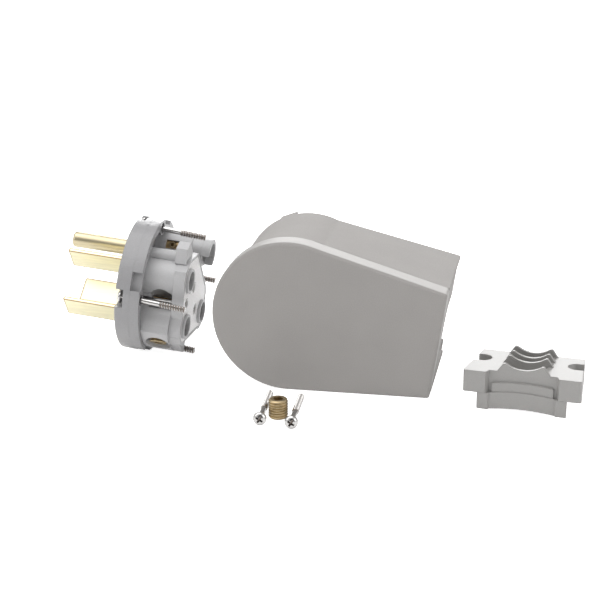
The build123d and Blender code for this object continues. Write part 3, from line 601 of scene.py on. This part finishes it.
# %% Cutting
def carved(piece, cutter):
    """Cut one object with another, keep the result as the piece's own mesh and delete the cutter."""
    cut = piece.modifiers.new("recess", "BOOLEAN")
    cut.operation = "DIFFERENCE"
    cut.solver = "EXACT"
    cut.object = cutter
    cut.material_mode = "TRANSFER"
    ready = piece.evaluated_get(bpy.context.evaluated_depsgraph_get())
    result = bpy.data.meshes.new_from_object(ready)
    piece.modifiers.clear()
    piece.data = result
    bpy.data.objects.remove(cutter)
    shaded(piece.data)
    return piece


print("recesses are cut by an exact Boolean")

# %% [markdown]
# ## Placing
#
# A screw is made upright at the origin. Its place then goes into its mesh, and its object stays at the
# origin, as those of the CAD nodes do. A pattern on Object coordinates then doesn't slide or turn.

# %% Placing
def placed(piece, where):
    """Move a piece's mesh to its place, and leave its object at the origin."""
    piece.data.transform(where)
    piece.data.update()
    return piece


def along(place, axis):
    """The matrix that puts local Z on an axis through a place."""
    return Matrix.Translation(place) @ Vector(axis).to_track_quat("Z", "Y").to_matrix().to_4x4()


print("a screw's own axis is Z")

# %% [markdown]
# ## Pan-head screws
#
# Both kinds of long screw have a domed head with a cross recess, a plain shank and a thread near the tip.
# The recess is cut while the head is still a plain closed shape, and the threaded rod joins it afterwards.
# It is cut one wing at a time, because an exact Boolean fails on a cutter that crosses itself. The wings
# bring the darker steel with them, so the recess gets painted shade.

# %% The shape of a pan-head screw
SHANK_RADIUS = 1.15 * MM
THREAD_ROOT = 1.12 * MM
DOME_STEPS = 9
DOME_SHARE = 0.78
HEAD_EDGE = 0.15 * MM
SHANK_OVERLAP = 0.5 * MM
TIP_CHAMFER = 0.3 * MM
RECESS_REACH = 0.78
RECESS_WIDTH = 0.42
RECESS_DEPTH = 0.8
RECESS_TURN = 32
WING_TAPER = 0.5
STEELS = (bright_steel, shade_painted_steel)


def wing_cutter(reach, width, depth, turned):
    """One wing of a cross recess, which narrows towards its tip."""
    mesh = bmesh.new()
    size = Matrix.Diagonal((2 * reach, width, 2 * depth, 1))
    bmesh.ops.create_cube(mesh, size=1, matrix=Matrix.Rotation(math.radians(turned), 4, "Z") @ size)
    tip = [vertex for vertex in mesh.verts if vertex.co.z > 0]
    bmesh.ops.scale(mesh, vec=(WING_TAPER, WING_TAPER, 1), verts=tip)
    # The wing carries the darker steel, which paints shade into the recess it cuts.
    return to_object(mesh, "wing_cutter", (shade_painted_steel,))


def pan_head_screw(name, head, length, thread, crest, pitch):
    """A screw along Z: the top of its head is at the origin, its tip at head height plus length."""
    radius, height = head
    dome = DOME_SHARE * height
    thread_start = height + length - thread
    points = []
    for step in range(DOME_STEPS + 1):
        turned = math.radians(90) * step / DOME_STEPS
        points.append((radius * math.sin(turned), dome * (1 - math.cos(turned))))
    points += [(radius, height - HEAD_EDGE), (radius - HEAD_EDGE, height), (SHANK_RADIUS, height)]
    points += [(SHANK_RADIUS, thread_start + SHANK_OVERLAP), (0, thread_start + SHANK_OVERLAP)]
    mesh = bmesh.new()
    turn(mesh, points)
    body = to_object(mesh, "head", STEELS)
    for turned in (RECESS_TURN, RECESS_TURN + 90):
        wing = wing_cutter(RECESS_REACH * radius, RECESS_WIDTH * radius, RECESS_DEPTH * height, turned)
        body = carved(body, wing)
    rod = bmesh.new()
    threaded(rod, THREAD_ROOT, crest, pitch, thread_start, height + length, TIP_CHAMFER)
    return joined([body, to_object(rod, "rod", STEELS)], name, STEELS)


print("shank", round(SHANK_RADIUS / MM, 2), "mm in radius")

# %% [markdown]
# ## Screws in the places of the CAD ones
#
# The CAD screws have heads and recesses but no threads, and they are in the right places. Each threaded
# screw starts where its CAD screw's head starts along the same axis, rides on the same body and takes its
# place in the picture.

# %% Screws in the places of the CAD ones
def distances_along(node, place, axis):
    """How far along an axis through a place each vertex of a CAD node lies."""
    return [(vertex.co - place).dot(axis) for vertex in frame["nodes"][node].data.vertices]


def put_screw(screw, node, body, place, axis):
    """Set a screw on its axis where its CAD node begins, and let it stand for that node."""
    axis = Vector(axis).normalized()
    place = Vector(place)
    placed(screw, along(place + axis * min(distances_along(node, place, axis)), axis))
    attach(screw, body)
    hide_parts(node)


print("CAD screws", len([name for name in frame["nodes"] if "_screw" in name]))

# %% [markdown]
# ## Assembly screws
#
# Four long screws hold the face to the housing. Here they hang captive in the rim, a little askew, and each
# can turn. The joints of the frame know their axes, so nothing is measured by eye.

# %% Assembly screws
ASSEMBLY_HEAD = (3.1 * MM, 1.9 * MM)
ASSEMBLY_LENGTH = 28.7 * MM
ASSEMBLY_THREAD = 11.5 * MM
ASSEMBLY_CREST = 1.55 * MM
ASSEMBLY_PITCH = 1.15 * MM
ASSEMBLY_SIDES = ("right", "top", "left", "bottom")

joint_of = {joint["child"]: joint for joint in frame["joints"]}
for side in ASSEMBLY_SIDES:
    node = f"assembly_screw_{side}"
    screw = pan_head_screw(
        f"threaded_{node}", ASSEMBLY_HEAD, ASSEMBLY_LENGTH, ASSEMBLY_THREAD, ASSEMBLY_CREST, ASSEMBLY_PITCH
    )
    put_screw(screw, node, node, joint_of[node]["pos_m"], joint_of[node]["axis"])
print("assembly screws", len(ASSEMBLY_SIDES))

# %% [markdown]
# ## Loose clamp screws
#
# Two more of these screws lie on the floor in front of the housing, with a place on the floor for the head
# and one for the tip. A screw on a floor rests on its head's rim and on its thread, so its axis falls a
# little from the head to the tip.

# %% Loose clamp screws
CLAMP_HEAD = (2.8 * MM, 2.1 * MM)
CLAMP_LENGTH = 31.9 * MM
CLAMP_THREAD = 20.0 * MM
CLAMP_CREST = 1.45 * MM
CLAMP_PITCH = 1.0 * MM
CLAMP_SCREW_PLACES = {
    "clamp_screw_left": ((-3.8, -47.1), (-5.8, -13.1)),
    "clamp_screw_right": ((9.4, -48.6), (7.7, -14.6)),
}
for node, (head_place, tip_place) in CLAMP_SCREW_PLACES.items():
    run = Vector((tip_place[0] - head_place[0], tip_place[1] - head_place[1], 0)).normalized()
    fall = (CLAMP_HEAD[0] - CLAMP_CREST) / CLAMP_LENGTH
    axis = Vector((run.x, run.y, -fall))
    place = Vector((head_place[0] * MM, head_place[1] * MM, CLAMP_HEAD[0] + CLAMP_HEAD[1] * fall))
    screw = pan_head_screw(
        f"threaded_{node}", CLAMP_HEAD, CLAMP_LENGTH, CLAMP_THREAD, CLAMP_CREST, CLAMP_PITCH
    )
    put_screw(screw, node, "plug", place, axis)
print("clamp screws", len(CLAMP_SCREW_PLACES))

# %% [markdown]
# ## Terminal screws
#
# The short brass screws are threaded over their whole length and have a hexagonal socket in one end. One of
# them stands loose on the floor, the others sit in their terminals and show through the windows of the
# block. Their lengths and radii are measured on the CAD nodes, and a prism with six sides cuts the socket.

# %% The shape of a terminal screw
TERMINAL_PITCH = 1.1 * MM
TERMINAL_STEPS = 48
THREAD_DEPTH_SHARE = 0.14
SOCKET_SIDES = 6
SOCKET_SHARE = 0.55
SOCKET_DEPTH = 3.2 * MM


def socket_cutter(reach, depth):
    """A six-sided prism for the socket in a terminal screw."""
    mesh = bmesh.new()
    bmesh.ops.create_cone(
        mesh, cap_ends=True, segments=SOCKET_SIDES, radius1=reach, radius2=reach, depth=2 * depth,
        matrix=Matrix.Identity(4),
    )
    return to_object(mesh, "socket_cutter", (screw_brass,))


def radius_about(node, place, axis):
    """The largest distance of a CAD node's vertices from an axis through a place."""
    arms = [vertex.co - place for vertex in frame["nodes"][node].data.vertices]
    return max((arm - axis * arm.dot(axis)).length for arm in arms)


def put_set_screw(node, body, place, axis, chamfer):
    """A threaded screw with a socket where a CAD node is, which stands for that node."""
    axis = Vector(axis).normalized()
    place = Vector(place)
    distances = distances_along(node, place, axis)
    low = min(distances)
    length = max(distances) - low
    crest = radius_about(node, place, axis)
    root = crest * (1 - THREAD_DEPTH_SHARE)
    rod = bmesh.new()
    threaded(rod, root, crest, TERMINAL_PITCH, 0, length, chamfer, steps=TERMINAL_STEPS)
    screw = to_object(rod, f"threaded_{node}", (screw_brass, screw_brass))
    socket = placed(socket_cutter(crest * SOCKET_SHARE, SOCKET_DEPTH), Matrix.Translation((0, 0, length)))
    screw = carved(screw, socket)
    placed(screw, along(place + axis * low, axis))
    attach(screw, body)
    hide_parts(node)
    print(node, round(length / MM, 2), "long", round(crest / MM, 2), "radius")


print("sockets have", SOCKET_SIDES, "sides")

# %% Terminal screws
LOOSE_SCREW_PLACE = Vector((1.8, -35.3, 0)) * MM
LOOSE_CHAMFER = 0.5 * MM
FITTED_CHAMFER = 0.2 * MM

put_set_screw("terminal_screw_a", "plug", LOOSE_SCREW_PLACE, (0, 0, 1), LOOSE_CHAMFER)
for name in ("b", "c", "ground"):
    node = f"terminal_screw_{name}"
    put_set_screw(node, node, joint_of[node]["pos_m"], joint_of[node]["axis"], FITTED_CHAMFER)

# %% [markdown]
#
# Last, the threaded screws have taken the place of the plain CAD ones.

print("threaded screws placed")
